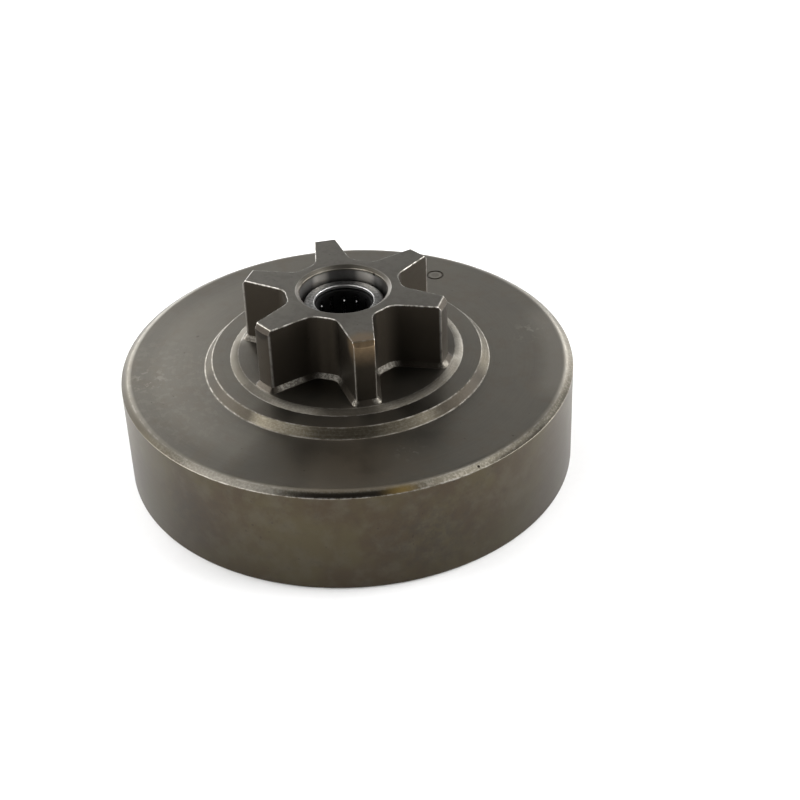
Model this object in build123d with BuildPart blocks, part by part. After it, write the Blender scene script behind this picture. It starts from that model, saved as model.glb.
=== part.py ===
"""Clutch drum with a spur sprocket on its hub and a needle bearing in its bore, in millimetres.

The open rim of the drum lies on z = 0, the shared axis is Z and one tooth points along +X.
"""

import os
from math import cos, radians, sin, tan

from build123d import *

os.makedirs("parts", exist_ok=True)

# Drum: a cup with its open rim down, turned all over
drum_radius = 34.0
drum_wall = 3.0
drum_height = 16.7
web_thickness = 3.0
shoulder_run = 1.05
shoulder_drop = 0.65
inside_corner_chamfer = 1.0
rim_chamfer = 0.5

# Two low steps on the web around the teeth, each with a sloping flank
tooth_foot_to_step_gap = 0.1
inner_step_run = 1.2
inner_step_rise = 0.5
outer_step_width = 2.8
outer_step_run = 1.1
outer_step_rise = 1.3

# Small round stamp on the web
stamp_distance_from_step = 6.1
stamp_angle = 77.6
stamp_radius = 1.4
stamp_line = 0.3
stamp_depth = 0.15

# Spur sprocket
tooth_count = 6
tooth_height = 10.25
tip_radius = 15.55
root_radius = 8.5
tip_width = 3.0
flank_angle = 8.9
root_corner_round = 2.4
tip_corner_round = 0.25
tip_chamfer_run = 0.65
tip_chamfer_rise = 0.8
tooth_foot_chamfer = 0.65
tooth_edge_chamfer = 0.15

# Needle bearing: a drawn cup with a lip at each end, a cage and rollers
shaft_diameter = 8.0
shaft_clearance = 0.02
roller_diameter = 1.5
roller_count = 13
roller_length = 8.8
race_clearance = 0.02
shell_radius = 6.0
shell_length = 12.0
shell_corner_chamfer = 0.57
lip_radius = 4.41
lip_thickness = 0.6
lip_edge_chamfer = 0.15
cage_end_clearance = 0.15
cage_race_clearance = 0.1
cage_shaft_clearance = 0.05
pocket_clearance = 0.05
pocket_end_clearance = 0.15

# Hub bore: a press seat for the cup, a wider mouth above it and a lead-in at each end
mouth_radius = 6.5
mouth_lead_run = 0.6
mouth_lead_rise = 0.35
bearing_recess = 2.05
mouth_depth_past_bearing = 1.5
seat_lead = 0.5

# Levels along the axis
web_underside = drum_height - web_thickness
outer_step_top = drum_height + outer_step_rise
tooth_floor = outer_step_top + inner_step_rise
tooth_top = tooth_floor + tooth_height
bearing_top = tooth_top - bearing_recess
bearing_bottom = bearing_top - shell_length
bearing_middle = (bearing_top + bearing_bottom) / 2
mouth_floor = bearing_top - mouth_depth_past_bearing

# Radii that follow from the shaft and the rollers
drum_bore_radius = drum_radius - drum_wall
roller_radius = roller_diameter / 2
roller_inner_radius = shaft_diameter / 2 + shaft_clearance
roller_pitch_radius = roller_inner_radius + roller_radius
race_radius = roller_pitch_radius + roller_radius + race_clearance
cage_inner_radius = shaft_diameter / 2 + cage_shaft_clearance
cage_outer_radius = race_radius - cage_race_clearance
cage_length = shell_length - 2 * (lip_thickness + cage_end_clearance)
pocket_length = roller_length + 2 * pocket_end_clearance

# Radii of the two steps, worked out from the tooth tips outwards
inner_step_top_radius = tip_radius + tooth_foot_chamfer + tooth_foot_to_step_gap
inner_step_foot_radius = inner_step_top_radius + inner_step_run
outer_step_top_radius = inner_step_foot_radius + outer_step_width
outer_step_foot_radius = outer_step_top_radius + outer_step_run
stamp_place_radius = outer_step_foot_radius + stamp_distance_from_step

# Half width of a tooth where its two flanks are carried on to the axis
tooth_half_width_at_axis = tip_width / 2 + tip_radius * tan(radians(flank_angle))


def nearest_corner(sketch, corner):
    """The one corner of a sketch that lies at the given place."""
    return sketch.vertices().sort_by_distance(corner)[0]


with BuildPart() as sprocket_drum:
    with BuildSketch(Plane.XZ) as drum_profile:
        with BuildLine():
            Polyline(
                (0, web_underside),
                (drum_bore_radius, web_underside),
                (drum_bore_radius, 0),
                (drum_radius, 0),
                (drum_radius, drum_height - shoulder_drop),
                (drum_radius - shoulder_run, drum_height),
                (outer_step_foot_radius, drum_height),
                (outer_step_top_radius, outer_step_top),
                (inner_step_foot_radius, outer_step_top),
                (inner_step_top_radius, tooth_floor),
                (0, tooth_floor),
                close=True,
            )
        make_face()
        chamfer(nearest_corner(drum_profile, (drum_bore_radius, web_underside)), inside_corner_chamfer)
        chamfer(nearest_corner(drum_profile, (drum_bore_radius, 0)), rim_chamfer)
        chamfer(nearest_corner(drum_profile, (drum_radius, 0)), rim_chamfer)
    revolve(axis=Axis.Z)

    # Tapering teeth around a round root, with small rounds in the corners
    with BuildSketch(Plane.XY.offset(tooth_floor)) as tooth_outline:
        with PolarLocations(0, tooth_count):
            Polygon(
                (0, -tooth_half_width_at_axis),
                (tip_radius, -tip_width / 2),
                (tip_radius, tip_width / 2),
                (0, tooth_half_width_at_axis),
                align=None,
            )
        Circle(root_radius)
        Circle(tip_radius, mode=Mode.INTERSECT)
        fillet(tooth_outline.vertices().group_by(SortBy.DISTANCE)[0], root_corner_round)
        fillet(tooth_outline.vertices().group_by(SortBy.DISTANCE)[-1], tip_corner_round)
    extrude(amount=tooth_height)

    # A sloping band where the teeth meet their floor, and their upper edges broken
    tooth_edges = sprocket_drum.edges(Select.LAST).group_by(Axis.Z)
    chamfer(tooth_edges[0], tooth_foot_chamfer)
    chamfer(sprocket_drum.faces().sort_by(Axis.Z)[-1].edges(), tooth_edge_chamfer)

    # Bevel turned on the upper end of every tooth tip
    with BuildSketch(Plane.XZ) as tip_bevel:
        with BuildLine():
            Polyline(
                (tip_radius - tip_chamfer_run, tooth_top),
                (tip_radius, tooth_top - tip_chamfer_rise),
                (tip_radius + tip_chamfer_run, tooth_top - tip_chamfer_rise),
                (tip_radius + tip_chamfer_run, tooth_top),
                close=True,
            )
        make_face()
    revolve(axis=Axis.Z, mode=Mode.SUBTRACT)

    # Stepped bore through the hub
    with BuildSketch(Plane.XZ) as bore_profile:
        with BuildLine():
            Polyline(
                (0, web_underside),
                (shell_radius + seat_lead, web_underside),
                (shell_radius, web_underside + seat_lead),
                (shell_radius, mouth_floor),
                (mouth_radius, mouth_floor),
                (mouth_radius, tooth_top - mouth_lead_rise),
                (mouth_radius + mouth_lead_run, tooth_top),
                (0, tooth_top),
                close=True,
            )
        make_face()
    revolve(axis=Axis.Z, mode=Mode.SUBTRACT)

    # Round stamp pressed into the web
    stamp_x = stamp_place_radius * cos(radians(stamp_angle))
    stamp_y = stamp_place_radius * sin(radians(stamp_angle))
    with BuildSketch(Plane.XY.offset(drum_height)) as stamp:
        with Locations((stamp_x, stamp_y)):
            Circle(stamp_radius)
            Circle(stamp_radius - stamp_line, mode=Mode.SUBTRACT)
    extrude(amount=-stamp_depth, mode=Mode.SUBTRACT)

sprocket_drum.part.label = "sprocket_drum"
export_step(sprocket_drum.part, "parts/sprocket_drum.step")

with BuildPart() as bearing_shell:
    with BuildSketch(Plane.XZ) as shell_profile:
        with BuildLine():
            Polyline(
                (lip_radius, bearing_bottom),
                (shell_radius, bearing_bottom),
                (shell_radius, bearing_top),
                (lip_radius, bearing_top),
                (lip_radius, bearing_top - lip_thickness),
                (race_radius, bearing_top - lip_thickness),
                (race_radius, bearing_bottom + lip_thickness),
                (lip_radius, bearing_bottom + lip_thickness),
                close=True,
            )
        make_face()
        for bearing_end in (bearing_bottom, bearing_top):
            chamfer(nearest_corner(shell_profile, (shell_radius, bearing_end)), shell_corner_chamfer)
            chamfer(nearest_corner(shell_profile, (lip_radius, bearing_end)), lip_edge_chamfer)
    revolve(axis=Axis.Z)

bearing_shell.part.label = "bearing_shell"
export_step(bearing_shell.part, "parts/bearing_shell.step")

with BuildPart() as bearing_cage:
    with BuildSketch(Plane.XY.offset(bearing_middle)) as cage_ring:
        Circle(cage_outer_radius)
        Circle(cage_inner_radius, mode=Mode.SUBTRACT)
    extrude(amount=cage_length / 2, both=True)

    # One pocket for each roller, too narrow on either side for it to drop out
    with BuildSketch(Plane.XY.offset(bearing_middle)) as pockets:
        with PolarLocations(roller_pitch_radius, roller_count):
            Circle(roller_radius + pocket_clearance)
    extrude(amount=pocket_length / 2, both=True, mode=Mode.SUBTRACT)

bearing_cage.part.label = "bearing_cage"
export_step(bearing_cage.part, "parts/bearing_cage.step")

for number in range(1, roller_count + 1):
    roller_angle = radians(360 / roller_count * (number - 1))
    roller_x = roller_pitch_radius * cos(roller_angle)
    roller_y = roller_pitch_radius * sin(roller_angle)
    with BuildPart() as needle_roller:
        with Locations((roller_x, roller_y, bearing_middle)):
            Cylinder(roller_radius, roller_length)

    needle_roller.part.label = f"needle_roller_{number:02d}"
    export_step(needle_roller.part, f"parts/needle_roller_{number:02d}.step")
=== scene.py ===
"""Clutch drum with a spur sprocket and a needle bearing, dressed and lit as on a studio table."""

import math

import bmesh
import bpy
from mathutils import Matrix, Vector


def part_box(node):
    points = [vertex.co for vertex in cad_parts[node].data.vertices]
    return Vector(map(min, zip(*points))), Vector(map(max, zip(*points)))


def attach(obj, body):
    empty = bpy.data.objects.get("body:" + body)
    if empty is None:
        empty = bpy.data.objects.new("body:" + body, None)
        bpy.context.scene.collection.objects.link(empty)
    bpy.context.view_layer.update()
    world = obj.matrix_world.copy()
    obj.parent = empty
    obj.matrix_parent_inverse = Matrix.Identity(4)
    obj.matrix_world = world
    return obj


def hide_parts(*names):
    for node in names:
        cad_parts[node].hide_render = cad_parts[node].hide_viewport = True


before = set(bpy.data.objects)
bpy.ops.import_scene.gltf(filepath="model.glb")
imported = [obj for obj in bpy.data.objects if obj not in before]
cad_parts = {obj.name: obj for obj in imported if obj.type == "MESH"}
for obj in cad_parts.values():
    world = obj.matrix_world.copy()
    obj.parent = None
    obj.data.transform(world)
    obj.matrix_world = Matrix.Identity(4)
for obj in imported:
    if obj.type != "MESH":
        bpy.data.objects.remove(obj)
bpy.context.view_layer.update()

mm = 0.001

# Sizes taken from the frame
drum_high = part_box("sprocket_drum")[1]
shell_low, shell_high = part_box("bearing_shell")
drum_radius = drum_high.x
tooth_top = drum_high.z
shell_radius = shell_high.x
bearing_top = shell_high.z
bearing_bottom = shell_low.z

# Drum
drum_wall = 3.0 * mm
drum_height = 16.7 * mm
web_thickness = 3.0 * mm
shoulder_run = 1.05 * mm
shoulder_drop = 0.65 * mm
shoulder_round = 2.0 * mm
rim_round = 0.5 * mm
inside_corner_round = 1.0 * mm
step_round = 0.35 * mm
edge_round = 0.1 * mm

# Two low steps around the teeth
tooth_height = 10.25 * mm
tooth_foot_to_step_gap = 0.1 * mm
inner_step_rise = 0.5 * mm
inner_step_run = 1.2 * mm
outer_step_width = 2.8 * mm
outer_step_run = 1.1 * mm

# Round stamp on the web
stamp_place_radius = 27.5 * mm
stamp_angle = math.radians(77.6)
stamp_radius = 1.4 * mm
stamp_line = 0.3 * mm
stamp_depth = 0.15 * mm

# Teeth
tooth_count = 6
tip_radius = 15.55 * mm
root_radius = 8.5 * mm
tip_half_width = 1.5 * mm
flank_angle = math.radians(8.9)
root_corner_round = 2.4 * mm
tip_corner_round = 0.25 * mm
tip_bevel_run = 0.65 * mm
tip_bevel_rise = 0.8 * mm
tooth_foot_chamfer = 0.65 * mm

# Hub bore
mouth_radius = 6.5 * mm
mouth_lead_run = 0.6 * mm
mouth_lead_rise = 0.35 * mm
mouth_depth_past_bearing = 1.5 * mm
seat_lead = 0.5 * mm

# Bearing cup
shell_corner_round = 0.57 * mm
lip_radius = 4.41 * mm
lip_thickness = 0.6 * mm
lip_edge_round = 0.15 * mm
race_radius = 5.54 * mm

# Levels and radii that follow
tooth_floor = tooth_top - tooth_height
step_level = tooth_floor - inner_step_rise
web_underside = drum_height - web_thickness
mouth_floor = bearing_top - mouth_depth_past_bearing
bore_radius = drum_radius - drum_wall
inner_step_top_radius = tip_radius + tooth_foot_chamfer + tooth_foot_to_step_gap
inner_step_foot_radius = inner_step_top_radius + inner_step_run
outer_step_top_radius = inner_step_foot_radius + outer_step_width
outer_step_foot_radius = outer_step_top_radius + outer_step_run
tooth_pitch = 2 * math.pi / tooth_count

# Short edges round the bearing cup and the stamp
cup_ring_edges = 96
stamp_ring_edges = 48

# How near two points are one, and how near a level an edge lies on it
weld_reach = 0.004 * mm
level_reach = 0.01 * mm

# Turns between faces: smooth up to the first, and past the others an edge at the teeth's feet or tops
smooth_up_to = math.radians(40)
foot_edge_turn = 1.0
top_edge_turn = 0.5


def start_piece(name):
    """A new piece in edit mode that holds a single selected point at the origin."""
    if bpy.context.object and bpy.context.object.mode != "OBJECT":
        bpy.ops.object.mode_set(mode="OBJECT")
    bpy.ops.object.select_all(action="DESELECT")
    bpy.ops.mesh.primitive_plane_add(size=mm)
    piece = bpy.context.object
    piece.name = name
    piece.data.name = name
    bpy.ops.object.mode_set(mode="EDIT")
    bpy.ops.mesh.select_mode(type="VERT")
    bpy.ops.mesh.merge(type="CENTER")
    return piece


def draw_line(points):
    """Carries the selected point at the origin to the first place, and draws a line on through the others."""
    bpy.ops.transform.translate(value=points[0])
    for before, after in zip(points, points[1:]):
        bpy.ops.mesh.extrude_vertices_move(TRANSFORM_OT_translate={"value": after - before})


def select_edges(piece, wanted):
    """Selects the edges of a piece in edit mode for which wanted holds."""
    bpy.ops.mesh.select_mode(type="EDGE")
    bpy.ops.mesh.select_all(action="DESELECT")
    shape = bmesh.from_edit_mesh(piece.data)
    shape.normal_update()
    for edge in shape.edges:
        edge.select_set(bool(wanted(edge)))
    bmesh.update_edit_mesh(piece.data)


def middle_of(edge):
    """The middle of an edge, as its distance from the axis and its height."""
    middle = (edge.verts[0].co + edge.verts[1].co) / 2
    return math.hypot(middle.x, middle.y), middle.z


def close_mesh():
    """Merges doubles over the whole piece in edit mode and turns its faces outwards."""
    bpy.ops.mesh.select_all(action="SELECT")
    bpy.ops.mesh.remove_doubles(threshold=weld_reach)
    bpy.ops.mesh.normals_make_consistent(inside=False)


def rounded(corners, arc_steps=5):
    """The line through corners given as (radius, height, round), with an arc at every rounded one."""
    line = []
    for number, (radius, height, corner_round) in enumerate(corners):
        corner = Vector((radius, height))
        if not corner_round:
            line.append(corner)
            continue
        back = (Vector(corners[number - 1][:2]) - corner).normalized()
        ahead = (Vector(corners[(number + 1) % len(corners)][:2]) - corner).normalized()
        half_angle = back.angle(ahead) / 2
        centre = corner + (back + ahead).normalized() * (corner_round / math.sin(half_angle))
        reach = corner_round / math.tan(half_angle)
        start = corner + back * reach - centre
        sweep = start.angle_signed(corner + ahead * reach - centre)
        for step in range(arc_steps + 1):
            line.append(centre + Matrix.Rotation(-sweep * step / arc_steps, 2) @ start)
    return [Vector((radius, 0, height)) for radius, height in line]


def turn_on_lathe(name, line, steps):
    """A ring turned from a line of points in the XZ plane, spun once round Z."""
    piece = start_piece(name)
    draw_line(line)
    bpy.ops.mesh.select_all(action="SELECT")
    bpy.ops.mesh.spin(steps=steps, angle=2 * math.pi, center=(0, 0, 0), axis=(0, 0, 1))
    close_mesh()
    bpy.ops.object.mode_set(mode="OBJECT")
    return piece


# Short edges along half a tooth, from the middle of its tip to the middle of the gap
tip_edges = 3
tip_corner_edges = 3
flank_edges = 9
root_corner_edges = 8
root_edges = 4
ring_edges = 2 * tooth_count * (tip_edges + tip_corner_edges + flank_edges + root_corner_edges + root_edges)

# The tooth's flank as a line in plan: its direction outwards, along it, and its distance from the axis
flank_normal = Vector((math.sin(flank_angle), math.cos(flank_angle), 0))
flank_along = Vector((math.cos(flank_angle), -math.sin(flank_angle), 0))
flank_distance = flank_normal.dot(Vector((tip_radius, tip_half_width, 0)))


def half_tooth():
    """Points from the middle of a tooth's tip to the middle of the gap beside it, on the tooth floor."""

    def corner_centre(distance, reach):
        return flank_normal * distance + flank_along * math.sqrt(reach**2 - distance**2)

    def arc(centre, radius, start, end, edges):
        angles = [start + (end - start) * step / edges for step in range(edges)]
        return [centre + Vector((radius * math.cos(angle), radius * math.sin(angle), 0)) for angle in angles]

    axis = Vector((0, 0, 0))
    tip_centre = corner_centre(flank_distance - tip_corner_round, tip_radius - tip_corner_round)
    root_centre = corner_centre(flank_distance + root_corner_round, root_radius + root_corner_round)
    tip_angle = math.atan2(tip_centre.y, tip_centre.x)
    root_angle = math.atan2(root_centre.y, root_centre.x)
    root_start = 1.5 * math.pi - flank_angle
    flank_start = tip_centre + flank_normal * tip_corner_round
    flank_end = root_centre - flank_normal * root_corner_round
    line = arc(axis, tip_radius, 0, tip_angle, tip_edges)
    line += arc(tip_centre, tip_corner_round, tip_angle, math.pi / 2 - flank_angle, tip_corner_edges)
    line += [flank_start.lerp(flank_end, step / flank_edges) for step in range(flank_edges)]
    line += arc(root_centre, root_corner_round, root_start, math.pi + root_angle, root_corner_edges)
    line += arc(axis, root_radius, root_angle, tooth_pitch / 2, root_edges)
    line += arc(axis, root_radius, tooth_pitch / 2, tooth_pitch / 2, 1)
    return [point + Vector((0, 0, tooth_floor)) for point in line]


def make_tooth_wall():
    """The upright wall round hub and teeth: half a tooth is drawn, mirrored, repeated and drawn up."""
    wall = start_piece("tooth_wall")
    draw_line(half_tooth())
    bpy.ops.mesh.select_all(action="SELECT")
    bpy.ops.mesh.duplicate()
    bpy.ops.transform.resize(value=(1, -1, 1), center_override=(0, 0, 0))
    bpy.ops.mesh.select_all(action="SELECT")
    for tooth in range(1, tooth_count):
        bpy.ops.mesh.duplicate()
        bpy.ops.transform.rotate(value=tooth_pitch, orient_axis="Z", center_override=(0, 0, 0))
    bpy.ops.mesh.select_all(action="SELECT")
    bpy.ops.mesh.remove_doubles(threshold=weld_reach)
    bpy.ops.mesh.extrude_region_move(TRANSFORM_OT_translate={"value": (0, 0, tooth_height)})
    bpy.ops.object.mode_set(mode="OBJECT")
    return wall


def make_drum():
    """The drum with its hub and teeth, as one closed skin."""
    web_and_bore = rounded(
        [
            (inner_step_top_radius, tooth_floor, 0),
            (inner_step_foot_radius, step_level, step_round),
            (outer_step_top_radius, step_level, step_round),
            (outer_step_foot_radius, drum_height, step_round),
            (drum_radius - shoulder_run, drum_height, shoulder_round),
            (drum_radius, drum_height - shoulder_drop, edge_round),
            (drum_radius, 0, rim_round),
            (bore_radius, 0, rim_round),
            (bore_radius, web_underside, inside_corner_round),
            (shell_radius + seat_lead, web_underside, edge_round),
            (shell_radius, web_underside + seat_lead, edge_round),
            (shell_radius, mouth_floor, edge_round),
            (mouth_radius, mouth_floor, edge_round),
            (mouth_radius, tooth_top - mouth_lead_rise, mouth_lead_rise),
            (mouth_radius + mouth_lead_run, tooth_top, edge_round),
            (mouth_radius + mouth_lead_run + edge_round, tooth_top, 0),
        ]
    )
    drum = turn_on_lathe("drum", web_and_bore, ring_edges)
    wall = make_tooth_wall()
    bpy.ops.object.select_all(action="DESELECT")
    wall.select_set(True)
    drum.select_set(True)
    bpy.context.view_layer.objects.active = drum
    bpy.ops.object.join()

    # The floor between the teeth and the flat top of hub and teeth close the skin
    bpy.ops.object.mode_set(mode="EDIT")
    for level in (tooth_floor, tooth_top):
        select_edges(drum, lambda edge: edge.is_boundary and abs(middle_of(edge)[1] - level) < level_reach)
        bpy.ops.mesh.bridge_edge_loops()
    close_mesh()

    # A sloping band where the teeth meet their floor
    def at_tooth_foot(edge):
        radius, height = middle_of(edge)
        turned = len(edge.link_faces) == 2 and edge.calc_face_angle() > foot_edge_turn
        return turned and abs(height - tooth_floor) < level_reach and radius < tip_radius + level_reach

    select_edges(drum, at_tooth_foot)
    bpy.ops.mesh.bevel(offset=tooth_foot_chamfer, segments=1, loop_slide=False)

    # The upper end of each tooth tip sloped off
    tip_slope = Vector((tip_bevel_rise, 0, tip_bevel_run)).normalized()
    for tooth in range(tooth_count):
        turn = Matrix.Rotation(tooth_pitch * tooth, 3, "Z")
        bpy.ops.mesh.select_mode(type="FACE")
        bpy.ops.mesh.select_all(action="DESELECT")
        shape = bmesh.from_edit_mesh(drum.data)
        for face in shape.faces:
            place = turn.inverted() @ face.calc_center_median()
            on_tooth = place.x > root_radius and abs(place.y) < place.x / 2
            face.select_set(on_tooth and place.z > tooth_floor + mm)
        bmesh.update_edit_mesh(drum.data)
        bpy.ops.mesh.bisect(
            plane_co=turn @ Vector((tip_radius, 0, tooth_top - tip_bevel_rise)),
            plane_no=turn @ tip_slope,
            use_fill=True,
            clear_outer=True,
        )

    # Sharp upper edges of the teeth broken
    def at_tooth_top(edge):
        radius, height = middle_of(edge)
        turned = len(edge.link_faces) == 2 and edge.calc_face_angle() > top_edge_turn
        high_up = height > tooth_top - tip_bevel_rise - level_reach
        return turned and high_up and radius > root_radius - edge_round

    select_edges(drum, at_tooth_top)
    bpy.ops.mesh.bevel(offset=edge_round, segments=2, profile=0.5, loop_slide=False)
    bpy.ops.mesh.remove_doubles(threshold=edge_round / 5)
    close_mesh()
    bpy.ops.object.mode_set(mode="OBJECT")
    return drum


def cut_stamp(drum):
    """Presses the round stamp into the web."""
    groove = turn_on_lathe(
        "stamp_groove",
        rounded(
            [
                (stamp_radius - stamp_line, -stamp_depth, 0),
                (stamp_radius, -stamp_depth, 0),
                (stamp_radius, stamp_depth, 0),
                (stamp_radius - stamp_line, stamp_depth, 0),
                (stamp_radius - stamp_line, -stamp_depth, 0),
            ]
        ),
        stamp_ring_edges,
    )
    bpy.ops.object.mode_set(mode="EDIT")
    bpy.ops.mesh.select_all(action="SELECT")
    place = Vector((math.cos(stamp_angle), math.sin(stamp_angle), 0)) * stamp_place_radius
    bpy.ops.transform.translate(value=place + Vector((0, 0, drum_height)))
    bpy.ops.object.mode_set(mode="OBJECT")
    bpy.ops.object.select_all(action="DESELECT")
    drum.select_set(True)
    bpy.context.view_layer.objects.active = drum
    cut = drum.modifiers.new("stamp", "BOOLEAN")
    cut.operation = "DIFFERENCE"
    cut.solver = "EXACT"
    cut.object = groove
    bpy.ops.object.modifier_apply(modifier=cut.name)
    bpy.data.objects.remove(groove)


def make_bearing_cup():
    """The drawn cup of the needle bearing, with rounded ends and a lip turned in at each."""
    line = rounded(
        [
            (lip_radius, bearing_bottom, lip_edge_round),
            (shell_radius, bearing_bottom, shell_corner_round),
            (shell_radius, bearing_top, shell_corner_round),
            (lip_radius, bearing_top, lip_edge_round),
            (lip_radius, bearing_top - lip_thickness, lip_edge_round),
            (race_radius, bearing_top - lip_thickness, lip_edge_round),
            (race_radius, bearing_bottom + lip_thickness, lip_edge_round),
            (lip_radius, bearing_bottom + lip_thickness, lip_edge_round),
        ]
    )
    return turn_on_lathe("bearing_cup", line + line[:1], cup_ring_edges)


def finish_piece(piece, body, node):
    """Smooths a piece's faces, sets which body carries it, and hides the solid it stands in for."""
    bpy.ops.object.select_all(action="DESELECT")
    piece.select_set(True)
    bpy.context.view_layer.objects.active = piece
    bpy.ops.object.shade_smooth_by_angle(angle=smooth_up_to)
    # Large faces stay flat beside their narrow rounds, weighed by their areas in square millimetres
    piece.data.transform(Matrix.Scale(1 / mm, 4))
    weights = piece.modifiers.new("flat_faces", "WEIGHTED_NORMAL")
    weights.keep_sharp = True
    bpy.ops.object.modifier_apply(modifier=weights.name)
    piece.data.transform(Matrix.Scale(mm, 4))
    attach(piece, body)
    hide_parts(node)


drum = make_drum()
cut_stamp(drum)
finish_piece(drum, "drum", "sprocket_drum")
bearing_cup = make_bearing_cup()
finish_piece(bearing_cup, "drum", "bearing_shell")


class Shade:
    """A socket in a material, on which sums are written as plain expressions."""

    def __init__(self, tree, socket):
        self.tree = tree
        self.socket = socket

    def node(self, kind, settings, inputs, output=0):
        """Adds a node: its settings first, then the values or links of its sockets."""
        node = self.tree.nodes.new(kind)
        for name, setting in settings.items():
            setattr(node, name, setting)
        for name, value in inputs.items():
            if isinstance(value, Shade):
                self.tree.links.new(value.socket, node.inputs[name])
            else:
                node.inputs[name].default_value = value
        return Shade(self.tree, node.outputs[output])

    def math(self, operation, *others):
        return self.node("ShaderNodeMath", {"operation": operation}, dict(enumerate((self, *others))))

    def __add__(self, other):
        return self.math("ADD", other)

    __radd__ = __add__

    def __sub__(self, other):
        return self.math("SUBTRACT", other)

    def __rsub__(self, other):
        return self.node("ShaderNodeMath", {"operation": "SUBTRACT"}, {0: other, 1: self})

    def __mul__(self, other):
        return self.math("MULTIPLY", other)

    __rmul__ = __mul__

    def __truediv__(self, other):
        return self.math("DIVIDE", other)

    def __pow__(self, power):
        return self.math("POWER", power)

    def __abs__(self):
        return self.math("ABSOLUTE")

    def most(self, other):
        return self.math("MAXIMUM", other)

    def least(self, other):
        return self.math("MINIMUM", other)

    def rising(self, low, high):
        """0 below low, 1 above high, and a soft change between them."""
        limits = {"Value": self, "From Min": low, "From Max": high}
        return self.node("ShaderNodeMapRange", {"interpolation_type": "SMOOTHSTEP"}, limits)

    def band(self, low, high, fade):
        """1 between low and high, 0 outside, with a soft change at each."""
        return self.rising(low - fade, low + fade) * (1 - self.rising(high - fade, high + fade))

    def near(self, place, reach):
        """1 at one place, falling to 0 at reach from it."""
        return 1 - abs(self - place).rising(0, reach)

    def mix(self, first, second):
        """From the first colour to the second, by this value."""
        settings = {"data_type": "RGBA", "clamp_factor": True}
        return self.node("ShaderNodeMix", settings, {0: self, 6: first, 7: second}, 2)

    def noise(self, size, detail=3.0, roughness=0.55):
        """Cloudy noise at this place, with clouds of the given size."""
        inputs = {"Vector": self, "Scale": 1 / size, "Detail": detail, "Roughness": roughness}
        return self.node("ShaderNodeTexNoise", {}, inputs)

    def distance(self, centre):
        """How far this place lies from a point on the piece."""
        return self.node("ShaderNodeVectorMath", {"operation": "DISTANCE"}, {0: self, 1: centre}, "Value")

    def spot(self, centre, reach):
        """1 at a point on the piece, falling to 0 at reach from it."""
        return 1 - self.distance(centre).rising(0, reach)

    def split(self):
        """The three lengths of a place: along x, y and z."""
        parts = self.node("ShaderNodeSeparateXYZ", {}, {0: self})
        return [Shade(self.tree, outlet) for outlet in parts.socket.node.outputs]

    def bump(self, strength, depth):
        """The surface's normal, with this value as its height."""
        return self.node("ShaderNodeBump", {}, {"Strength": strength, "Distance": depth, "Height": self})


def new_material(name):
    """A new material, its shader, and the place on the piece that wears it."""
    material = bpy.data.materials.new(name)
    material.use_nodes = True
    shader = material.node_tree.nodes["Principled BSDF"]
    place = Shade(material.node_tree, None).node("ShaderNodeTexCoord", {}, {}, "Object")
    return material, shader, place


def plug(shader, **sockets):
    """Feeds the named sockets of a shader, by link or by value."""
    for name, value in sockets.items():
        socket = shader.inputs[name.replace("_", " ")]
        if isinstance(value, Shade):
            value.tree.links.new(value.socket, socket)
        else:
            socket.default_value = value


def at(x, y, z):
    """A place on a piece, from its three lengths in millimetres."""
    return x * mm, y * mm, z * mm


# Colours of the drum
steel = (0.152, 0.141, 0.118, 1)
brown_steel = (0.133, 0.112, 0.084, 1)
dull_steel = (0.128, 0.12, 0.103, 1)
# Dark oil, also laid on as painted shade
oil_and_shade = (0.031, 0.026, 0.02, 1)
olive = (0.056, 0.045, 0.023, 1)
brown = (0.046, 0.033, 0.019, 1)
slate = (0.066, 0.056, 0.038, 1)
# Pale scale, also laid on as painted highlights
pale_scale_and_highlight = (0.33, 0.31, 0.27, 1)
bright = (0.65, 0.62, 0.57, 1)
polished = (0.16, 0.155, 0.15, 1)
brass = (0.2, 0.14, 0.05, 1)
heat_brown = (0.19, 0.135, 0.08, 1)
# Near black for pits and soot, also laid on as painted shade
pit_and_shade = (0.01, 0.008, 0.006, 1)

# Painted highlights on the band at the teeth's feet: centre, reach and strength
foot_highlight_places = (
    (at(-4.1, -12.2, 18.8), 3.2 * mm, 0.6),
    (at(0.6, -8.9, 18.8), 3.4 * mm, 0.85),
    (at(7.6, -4.2, 18.8), 3.2 * mm, 0.5),
    (at(-8.3, -13.6, 18.8), 3 * mm, 0.03),
    (at(-14.4, -1.7, 18.8), 3 * mm, 0.3),
    (at(16, -1.5, 18.7), 1.6 * mm, 0.3),
    (at(6.2, -14.2, 18.8), 0.9 * mm, 0.4),
    (at(9, -12.7, 18.8), 1.1 * mm, 0.4),
    (at(-9, 11, 18.8), 5 * mm, 0.5),
    (at(8, 9, 18.8), 5 * mm, 0.5),
)


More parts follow.
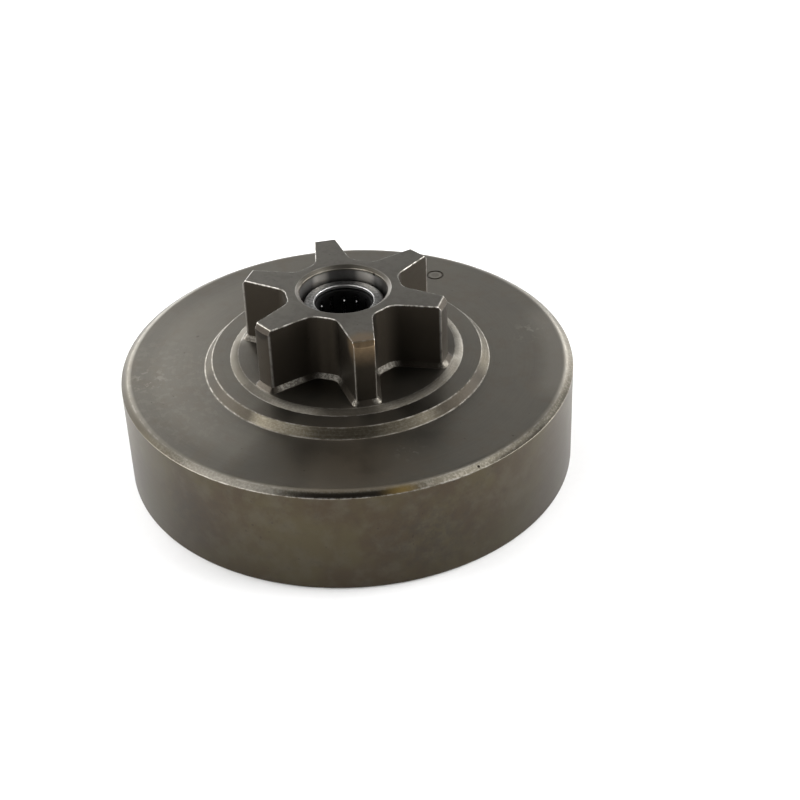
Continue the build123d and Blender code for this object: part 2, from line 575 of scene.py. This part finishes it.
def dress_drum_steel():
    """Dark turned steel: burnished edges, turning marks, a skirt stained by oil and heat, and painted
    highlights and painted shade laid on by direction round the axis and in the hollows.
    """
    material, shader, place = new_material("turned_steel")
    x, y, z = place.split()
    radius = (x * x + y * y) ** 0.5
    shoulder_start = drum_radius - shoulder_run
    shoulder_edge = drum_height - shoulder_drop

    def side(degrees, full, reach):
        """1 up to one angle from a direction round the axis, falling to 0 at a wider angle from it."""
        angle = math.radians(degrees)
        facing = (x * math.cos(angle) + y * math.sin(angle)) / radius
        return facing.rising(math.cos(math.radians(reach)), math.cos(math.radians(full)))

    def lengths(*marks):
        """Marks along a ring added up, each with its direction, two angles as for a side, and strength."""
        return sum(strength * side(degrees, full, reach) for degrees, full, reach, strength in marks)

    def spots(*marks):
        """Round marks added up, each with its centre and its reach."""
        return sum(place.spot(centre, reach) for centre, reach in marks)

    # Distance outwards from the sprocket's outline in plan, worked out on one half of a tooth
    turn = (y.math("ARCTAN2", x) / tooth_pitch + 0.5).math("FRACT")
    half_angle = abs(turn - 0.5) * tooth_pitch
    along = radius * half_angle.math("COSINE")
    across = radius * half_angle.math("SINE")
    past_flank = along * flank_normal.x + across * flank_normal.y - flank_distance
    past_tip = radius - tip_radius
    past_teeth = past_flank.most(past_tip).math("SMOOTH_MIN", radius - root_radius, 0.7 * root_corner_round)

    # Skirt and shoulder
    skirt = radius.rising(drum_radius - 0.5 * mm, drum_radius)
    skirt = skirt * (1 - z.rising(shoulder_edge - 0.1 * mm, shoulder_edge))
    shoulder = radius.rising(shoulder_start - 0.3 * mm, shoulder_start + 0.7 * mm)
    shoulder = shoulder * z.rising(shoulder_edge - 0.05 * mm, shoulder_edge + 0.05 * mm)
    # The front of the shoulder, which carries painted shade
    shoulder_front_shade = side(290, 6, 20)
    # The left side, which carries painted shade
    shaded_left = side(199, 18, 53)
    left_side = side(200, 40, 75)

    # Teeth, the floor between them and the band at their feet
    teeth = z.rising(tooth_floor + 0.5 * tooth_foot_chamfer, tooth_floor + tooth_foot_chamfer)
    tops = teeth * z.rising(tooth_top - 0.2 * mm, tooth_top - 0.1 * mm)
    flanks = (teeth - tops) * radius.rising(mouth_radius + 2 * mouth_lead_run, root_radius - 0.3 * mm)
    gaps = 1 - radius.rising(inner_step_top_radius - 0.1 * mm, inner_step_top_radius)
    gaps = gaps * (1 - z.rising(tooth_floor, tooth_floor + 0.3 * mm))
    gaps = gaps * z.rising(tooth_floor - 0.2 * mm, tooth_floor - 0.1 * mm)
    foot = z.band(tooth_floor + 0.05 * mm, tooth_floor + tooth_foot_chamfer, 0.03 * mm)
    foot = foot * radius.rising(mouth_radius, root_radius - 0.1 * mm)

    # Steps, web and the mouth of the hub
    steps = z.band(drum_height - 0.2 * mm, tooth_floor, 0.1 * mm)
    inner_slope = radius.band(inner_step_top_radius, inner_step_foot_radius, 0.15 * mm) * steps
    outer_slope = radius.band(outer_step_top_radius, outer_step_foot_radius, 0.15 * mm) * steps
    slopes = inner_slope + outer_slope
    ledge = radius.band(inner_step_foot_radius, outer_step_top_radius, 0.15 * mm) * steps
    web = radius.band(outer_step_foot_radius, shoulder_start, 0.3 * mm) * steps
    mouth = 1 - radius.rising(mouth_radius + 0.05 * mm, mouth_radius + 0.15 * mm)
    mouth = mouth * z.band(mouth_floor, tooth_top - 2 * mouth_lead_rise, 0.2 * mm)
    lead = radius.band(mouth_radius + 0.1 * mm, mouth_radius + mouth_lead_run - 0.05 * mm, 0.08 * mm)
    lead = lead * z.rising(tooth_top - 2 * mouth_lead_rise, tooth_top - mouth_lead_rise)
    mouth_corner = (radius - mouth_radius).near(0.05 * mm, 0.2 * mm)
    mouth_corner = mouth_corner * z.band(tooth_top - 0.6 * mm, tooth_top - 0.15 * mm, 0.1 * mm)

    # Stains, blotches and grain
    clouds = place.noise(9 * mm, 4.0, 0.6)
    blotches = place.noise(3 * mm, 5.0, 0.62)
    grain = place.noise(0.35 * mm, 2.0, 0.6)
    specks = place.noise(0.8 * mm, 1.0, 0.5).rising(0.74, 0.8)
    nicks = place.noise(1.3 * mm, 3.0, 0.7)

    # Turning marks: long streaks round the axis, fine along the profile
    around = {"X": x / radius * 6 * mm, "Y": y / radius * 6 * mm, "Z": (z - radius) * 12}
    streaks = place.node("ShaderNodeCombineXYZ", {}, around).noise(3 * mm, 4.0, 0.65)

    # Burnished edges, with painted highlights along the front of the skirt's edge and along the shoulder's
    # start
    edge_gap = 0.17 * mm
    top_edge = z.rising(tooth_top - 0.3 * mm, tooth_top - 0.05 * mm) * past_teeth.near(-0.03 * mm, edge_gap)
    upright_edge = past_flank.near(0, edge_gap) * past_tip.near(-0.1 * mm, 0.35 * mm) * teeth
    bevel_edge = (past_tip + tip_bevel_run).near(0, edge_gap) * teeth
    bevel_edge = bevel_edge * z.rising(tooth_top - 0.4 * mm, tooth_top)
    mouth_edge = (radius - mouth_radius - mouth_lead_run).near(0, edge_gap) * tops
    skirt_edge_highlight = ((radius - drum_radius) ** 2 + (z - shoulder_edge) ** 2) ** 0.5
    skirt_edge_highlight = skirt_edge_highlight.near(0, 0.25 * mm) * side(288, 28, 42)
    step_edges = 0.5 * (radius - shoulder_start - 0.1 * mm).near(0, 0.2 * mm) * (1 - shoulder_front_shade)
    for edge_radius in (
        inner_step_top_radius,
        inner_step_foot_radius,
        outer_step_top_radius,
        outer_step_foot_radius,
    ):
        step_edges = (radius - edge_radius).near(0, 0.14 * mm) + step_edges
    step_edges = step_edges * steps
    edge_wear_and_highlight = top_edge * 0.9 + bevel_edge * 0.4 + mouth_edge * 0.1 + skirt_edge_highlight * 0.3 + step_edges * 0.25
    edge_wear_and_highlight = (edge_wear_and_highlight * nicks.rising(0.38, 0.62) + upright_edge * 0.35 * nicks.rising(0.2, 0.55)).least(1)

    # Skirt: brown and olive stains and two runs of oil, darker towards the rim
    stained = clouds.rising(0.38, 0.62).mix(brown, olive)
    stained = (0.7 * blotches.rising(0.42, 0.7)).mix(stained, slate)
    runs = spots((at(20.9, -26.8, 7.7), 11 * mm), (at(-13.1, -31.4, 8.5), 8 * mm))
    stained = (runs * 0.5 * nicks.rising(0.3, 0.6) + 0.25 * nicks.rising(0.5, 0.75)).mix(stained, oil_and_shade)
    stained = (0.25 * (1 - z.rising(3 * mm, 14 * mm))).mix(stained, pit_and_shade)

    # Web and teeth: dull steel, with painted shade: a browner, darker web in front, a darker front of the
    # hub's face, and dark flanks and floor
    colour = (0.4 * clouds.rising(0.4, 0.7) + 0.3 * streaks.rising(0.4, 0.65)).mix(steel, dull_steel)
    colour = (0.35 * blotches.rising(0.45, 0.65)).mix(colour, brown_steel)
    colour = place.spot((8.7 * mm, -25.6 * mm, drum_height), 16 * mm).mix(colour, brown_steel)
    colour = tops.mix(colour, dull_steel)
    colour = (tops * 0.14 * nicks.rising(0.45, 0.6)).mix(colour, oil_and_shade)
    colour = (tops * 0.3 * place.spot((1.4 * mm, -7.5 * mm, tooth_top), 5 * mm)).mix(colour, oil_and_shade)
    colour = (flanks + gaps * 0.6).least(1).mix(colour, oil_and_shade)

    # Mouth of the hub: polished, with two painted highlights on its wall, painted shade on the lead-in and on
    # lengths of its corner and wall, and a painted highlight on a length of its rim
    colour = mouth.mix(colour, polished)
    colour = (lead * 0.6).mix(colour, oil_and_shade)
    colour = (lead * lengths((25, 15, 30, 0.4), (198, 8, 18, 0.4))).mix(colour, pit_and_shade)
    colour = (mouth_corner * lengths((45, 25, 38, 0.75), (165, 12, 24, 0.75))).mix(colour, pit_and_shade)
    colour = (mouth * 0.6 * side(33, 12, 24)).mix(colour, pit_and_shade)
    colour = (mouth * lengths((79, 0, 17, 0.75), (142, 0, 15, 0.75))).mix(colour, bright)
    rim_highlight = place.spot((-7 * mm, -0.6 * mm, tooth_top), 4 * mm)
    rim_highlight = rim_highlight * (radius - mouth_radius - mouth_lead_run).near(0, 0.8 * mm)
    colour = (rim_highlight * 0.18 * streaks.rising(0.4, 0.6)).mix(colour, pale_scale_and_highlight)

    # Shoulder and slopes: olive, speckled with bright metal; more olive and fewer specks on the left side, as
    # painted shade
    colour = skirt.mix(colour, stained)
    tinged = shoulder * (0.45 + 0.35 * shaded_left) + inner_slope * (0.1 + 0.3 * shaded_left) + outer_slope * 0.6
    colour = tinged.mix(colour, olive)
    speckle = (shoulder + 0.6 * inner_slope + 0.4 * outer_slope) * grain.rising(0.4, 0.7)
    speckle = speckle + (0.4 * inner_slope + 0.3 * outer_slope) * streaks.rising(0.45, 0.6)
    colour = (speckle * 0.35 * (1 - shaded_left)).mix(colour, pale_scale_and_highlight)

    # Painted highlights: paler lengths of the shoulder, the inner slope and the web
    pale = shoulder * 0.5 * side(261, 8, 18) + inner_slope * 0.3 * side(374, 6, 14)
    pale_web = 0.1 * left_side * (1 - radius.rising(27 * mm, 31 * mm))
    pale_web = pale_web + 0.3 * side(378, 14, 26) * radius.rising(28 * mm, 31.5 * mm)
    pale_web = pale_web + 0.1 * side(215, 15, 40) * nicks.rising(0.52, 0.6)
    colour = (pale * (0.5 + grain) + web * pale_web).mix(colour, pale_scale_and_highlight)

    # Painted shade: darker lengths of the slopes, the shoulder and the web
    dark_outer = lengths((230, 15, 24, 0.36), (344, 12, 22, 0.42))
    dark_outer = 0.5 + dark_outer - lengths((262, 7, 16, 0.42), (312, 6, 14, 0.24), (378, 6, 14, 0.45))
    dark_inner = 0.2 * shaded_left + 0.35 * side(240, 6, 13)
    dark_shoulder = 0.4 * shaded_left + lengths((214, 10, 22, 0.35), (336, 6, 12, 0.35))
    dark_shoulder = dark_shoulder + 0.4 * side(343, 14, 24) * radius.rising(33.4 * mm, 33.9 * mm)
    dark_web = 0.2 * left_side * radius.rising(27 * mm, 32 * mm) + 0.25 * side(268, 6, 14)
    dark = outer_slope * dark_outer + inner_slope * dark_inner + shoulder * dark_shoulder + web * dark_web
    colour = dark.mix(colour, pit_and_shade)

    # Painted shade on the front of the shoulder and on front lengths of the inner slope and of the ledge
    # between the slopes
    oil = shoulder * shoulder_front_shade * radius.rising(shoulder_start + 0.2 * mm, shoulder_start + 0.5 * mm)
    oil = inner_slope * lengths((291, 8, 22, 0.8), (329, 12, 20, 0.5)) + oil
    oil = ledge * lengths((290, 30, 40, 0.3), (256, 5, 12, 0.35), (323, 5, 12, 0.45)) + oil
    colour = oil.mix(colour, oil_and_shade)
    colour = (specks * 0.35).mix(colour, pit_and_shade)
    colour = (edge_wear_and_highlight * 0.85).mix(colour, bright)

    # Painted shade on the band at the teeth's feet, with painted highlights at the listed places
    foot_highlight = 0.02
    for centre, reach, strength in foot_highlight_places:
        foot_highlight = strength * place.spot(centre, reach).rising(0.05, 0.5) + foot_highlight
    foot_highlight = foot_highlight.least(1) * (0.4 + 0.6 * grain.rising(0.42, 0.58))
    colour = (foot * foot_highlight).mix(foot.mix(colour, oil_and_shade), pale_scale_and_highlight)

    # Single marks: soot and heat tint on two tooth tips, a yellow place on the shoulder, two pits
    sooty = place.spot(at(-7.7, -13.3, 28.4), 2.4 * mm).rising(0.1, 0.5) * (1 - tops)
    colour = (sooty * (1 - edge_wear_and_highlight) * (1 - 0.5 * nicks)).mix(colour, pit_and_shade)
    tint = place.spot(at(7.8, -13.5, 27.5), 5 * mm).rising(0.1, 0.6) * z.rising(24 * mm, 28.6 * mm)
    colour = (tint * (1 - edge_wear_and_highlight) * (0.3 + 0.8 * nicks)).mix(colour, heat_brown)
    colour = (place.spot(at(17.3, -28.6, 16.4), 3.5 * mm) * shoulder * 0.8).mix(colour, brass)
    pits = spots((at(26.3, -21, 16.4), 0.4 * mm), (at(2.8, 5.9, 28.2), 0.4 * mm))
    colour = pits.rising(0.2, 0.5).mix(colour, pit_and_shade)

    # The stamp's groove darkened as painted shade, with its paler inner border, and scuffs on the web
    stamp_x = stamp_place_radius * math.cos(stamp_angle)
    stamp_y = stamp_place_radius * math.sin(stamp_angle)
    from_stamp = place.distance((stamp_x, stamp_y, drum_height))
    colour = (from_stamp.near(stamp_radius - 2 * stamp_line, stamp_line) * 0.3).mix(colour, pale_scale_and_highlight)
    groove = from_stamp.band(stamp_radius - stamp_line, stamp_radius, 0.05 * mm)
    colour = (groove * 0.8).mix(colour, oil_and_shade)
    scuffs = spots(
        (at(25.2, 14, 16.7), 4.5 * mm),
        (at(16.2, -20.3, 16.7), 3.5 * mm),
        (at(-26.4, -13.5, 16.7), 4 * mm),
    )
    colour = (scuffs * nicks.rising(0.55, 0.62) * 0.35).mix(colour, pale_scale_and_highlight)

    roughness = 0.29 + 0.1 * blotches + 0.05 * streaks + 0.08 * skirt + 0.06 * mouth - 0.08 * edge_wear_and_highlight
    roughness = roughness + 0.1 * (foot + slopes + flanks).least(1)
    height = streaks * (1 - teeth) + 0.4 * grain + 0.8 * grain * (foot + slopes + shoulder)
    plug(shader, Base_Color=colour, Roughness=roughness, Metallic=1.0, Normal=height.bump(0.2, 0.03 * mm))
    plug(shader, Coat_Weight=0.25 * skirt, Coat_Roughness=0.35)
    return material


def dress_cup_steel():
    """Drawn steel of the bearing cup: pale, with a fine grain, painted shade on the back and right of its
    face, and a bright inner edge that is partly a painted highlight.
    """
    material, shader, place = new_material("drawn_steel")
    x, y = place.split()[:2]
    edge = ((x * x + y * y) ** 0.5 - lip_radius).near(0, 0.12 * mm)
    grain = place.noise(0.4 * mm, 3.0, 0.6)
    colour = grain.rising(0.35, 0.65).mix((0.14, 0.14, 0.14, 1), (0.32, 0.32, 0.31, 1))
    # Painted shade on the back and right of the cup's face
    cup_shade = place.spot((-1.6 * mm, 4.9 * mm, bearing_top), 4 * mm)
    cup_shade = cup_shade + 0.7 * place.spot((5 * mm, 1.6 * mm, bearing_top), 3 * mm)
    colour = (cup_shade * 0.7).mix(colour, (0.05, 0.048, 0.045, 1))
    colour = edge.mix(colour, (0.5, 0.5, 0.49, 1))
    roughness = 0.32 + 0.16 * grain
    plug(shader, Base_Color=colour, Roughness=roughness, Metallic=1.0, Normal=grain.bump(0.3, 0.03 * mm))
    return material


def dress_cage():
    """Black moulded cage, with a film of oil."""
    material, shader, place = new_material("cage_black")
    grain = place.noise(0.7 * mm)
    colour = grain.mix((0.002, 0.002, 0.002, 1), (0.005, 0.005, 0.005, 1))
    plug(shader, Base_Color=colour, Roughness=0.5 + 0.2 * grain, Specular_IOR_Level=0.2)
    return material


def dress_rollers():
    """Ground and polished rollers, with a drop of oil on three of them."""
    material, shader, place = new_material("polished_steel")
    streak = place.noise(0.5 * mm)
    colour = streak.mix((0.55, 0.55, 0.55, 1), (0.7, 0.7, 0.69, 1))
    drop_size = 0.4 * mm
    drop_places = (at(0.5, 3.95, 24), at(-1.4, 3.75, 24), at(-3.85, 0.95, 24.3))
    drops = sum(place.spot(centre, drop_size) for centre in drop_places)
    plug(shader, Base_Color=colour, Roughness=0.12 + 0.12 * streak, Metallic=1.0)
    plug(shader, Normal=drops.bump(1.0, drop_size))
    return material


def wear(piece, material):
    """Gives a piece one material all over."""
    piece.data.materials.clear()
    piece.data.materials.append(material)


wear(drum, dress_drum_steel())
wear(bearing_cup, dress_cup_steel())
cage_black = dress_cage()
polished_steel = dress_rollers()
for name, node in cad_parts.items():
    if name == "bearing_cage":
        wear(node, cage_black)
    elif name.startswith("needle_roller"):
        wear(node, polished_steel)

# Camera: where it stands round the object, how far off, and how the frame is turned and centred
image_side = 800
focal_pixels = 1652.5
camera_azimuth = math.radians(18.68)
camera_elevation = math.radians(34.443)
camera_roll = math.radians(-2.150)
camera_distance = 7.6179 * drum_radius
axis_foot_pixel = (352.43, 446.27)
sensor_width_mm = 36
nearest_seen = 0.01
farthest_seen = 20


def from_camera(azimuth, elevation):
    """The direction out from the object at an angle round from the camera's side and one above the floor."""
    turned = camera_azimuth + azimuth
    level = math.cos(elevation)
    return Vector((math.sin(turned) * level, -math.cos(turned) * level, math.sin(elevation)))


def aim_camera():
    """Puts the camera at its viewpoint, with the foot of the drum's axis at its place in the frame."""
    data = bpy.data.cameras.new("camera")
    data.sensor_width = sensor_width_mm
    data.lens = focal_pixels / image_side * sensor_width_mm
    data.clip_start = nearest_seen
    data.clip_end = farthest_seen
    camera = bpy.data.objects.new("camera", data)
    bpy.context.scene.collection.objects.link(camera)
    back = from_camera(0, camera_elevation)
    right = from_camera(math.pi / 2, 0)
    up = back.cross(right)
    turned_right = right * math.cos(camera_roll) + up * math.sin(camera_roll)
    turned_up = up * math.cos(camera_roll) - right * math.sin(camera_roll)
    across = (axis_foot_pixel[0] - image_side / 2) / focal_pixels * camera_distance
    down = (axis_foot_pixel[1] - image_side / 2) / focal_pixels * camera_distance
    place = back * camera_distance - turned_right * across + turned_up * down
    turn = Matrix((turned_right, turned_up, back)).transposed().to_4x4()
    camera.matrix_world = Matrix.Translation(place) @ turn
    bpy.context.scene.camera = camera


def add_softbox(name, azimuth, elevation, distance, width, height, power):
    """A soft light that faces the object, at angles round from the camera's side and above the floor."""
    data = bpy.data.lights.new(name, "AREA")
    data.shape = "RECTANGLE"
    data.size = width
    data.size_y = height
    data.energy = power
    softbox = bpy.data.objects.new(name, data)
    outward = from_camera(math.radians(azimuth), math.radians(elevation))
    softbox.location = outward * distance
    softbox.rotation_euler = outward.to_track_quat("Z", "Y").to_euler()
    bpy.context.scene.collection.objects.link(softbox)


# Soft lights: angle round from the camera's side, angle above the floor, distance, width, height and power
softboxes = {
    "left_softbox": (-95, 16, 0.6, 0.5, 0.3, 5.4),
    "front_left_softbox": (-50, 14, 0.6, 0.5, 0.25, 2.45),
    "right_softbox": (95, 14, 0.6, 0.5, 0.25, 7.0),
    "front_right_softbox": (50, 14, 0.6, 0.5, 0.25, 1.15),
    "left_high_softbox": (-112, 58, 0.6, 0.6, 0.3, 0.9),
    "right_high_softbox": (95, 58, 0.6, 0.4, 0.3, 1.3),
    "back_left_softbox": (-140, 20, 0.6, 0.5, 0.3, 2.3),
    "back_right_softbox": (148, 22, 0.6, 0.2, 0.2, 0.75),
    "back_softbox": (180, 25, 0.8, 1.2, 0.4, 1.0),
    "top_softbox": (180, 75, 0.6, 0.4, 0.2, 0.25),
}

# Floor
floor_radius = 0.5
floor_edges = 96

# Heights on the room's dome, 0 at the horizon and 1 overhead, between which its light fades, and its loss
pale_up_to = 0.19
dim_from = 0.3
dim_share = 0.99


def lay_floor():
    """A plain white floor that reaches past the frame."""
    bpy.ops.object.select_all(action="DESELECT")
    bpy.ops.mesh.primitive_circle_add(vertices=floor_edges, radius=floor_radius, fill_type="NGON")
    floor = bpy.context.object
    floor.name = "floor"
    material, shader, place = new_material("white_paper")
    fibre = place.noise(1.2 * mm)
    colour = fibre.mix((0.87, 0.87, 0.87, 1), (0.9, 0.9, 0.9, 1))
    plug(shader, Base_Color=colour, Roughness=0.9)
    wear(floor, material)


def light_studio():
    """Soft lights at both sides, behind and above, and a dim room that is pale round the horizon."""
    for name, setting in softboxes.items():
        add_softbox(name, *setting)
    world = bpy.data.worlds.new("studio")
    world.use_nodes = True
    outward = Shade(world.node_tree, None).node("ShaderNodeTexCoord", {}, {}, "Generated")
    above = outward.split()[2]
    strength = 1 - dim_share * above.rising(pale_up_to, dim_from)
    plug(world.node_tree.nodes["Background"], Color=(1, 1, 1, 1), Strength=strength)
    bpy.context.scene.world = world
    bpy.context.scene.view_settings.view_transform = "Standard"


aim_camera()
lay_floor()
light_studio()
